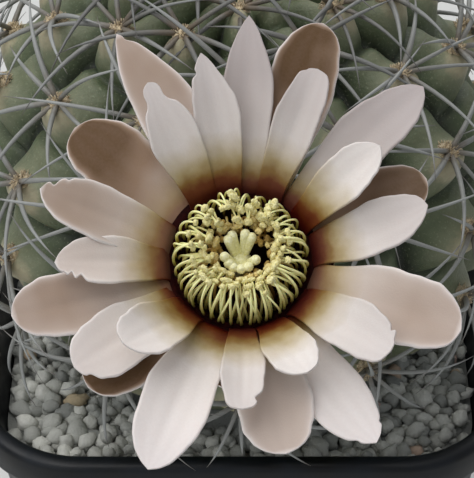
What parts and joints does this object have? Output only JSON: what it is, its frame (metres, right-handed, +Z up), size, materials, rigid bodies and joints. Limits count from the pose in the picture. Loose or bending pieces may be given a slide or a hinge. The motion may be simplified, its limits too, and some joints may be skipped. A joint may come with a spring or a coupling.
{
  "type": "chin cactus",
  "caption": "Potted globular cactus with chinned ribs and curved spines, and one open pale flower on a scaly tube leaning over the front of a square nursery pot",
  "frame": {"origin": "centre of the pot's flat bottom", "axes": "+Z up, the flower leans out over the pot towards -Y, +X to the right seen from the flower's side"},
  "size_m": [0.1079, 0.1503, 0.1718],
  "materials": {
    "pot_plastic": "satin moulded",
    "soil": "crumbly potting mix",
    "gravel": "mixed grey grit",
    "cactus_skin": "waxy green skin",
    "flower_tube": "smooth scaly",
    "petal": "silky",
    "stamen": "powdery",
    "stigma": "velvety"
  },
  "bodies": {
    "root": {"pot": "pot_plastic", "soil": "soil", "gravel": "gravel", "cactus": "cactus_skin", "flower_tube": "flower_tube", "petals": "petal", "stamens": "stamen", "pistil": "stigma"}
  },
  "joints": []
}
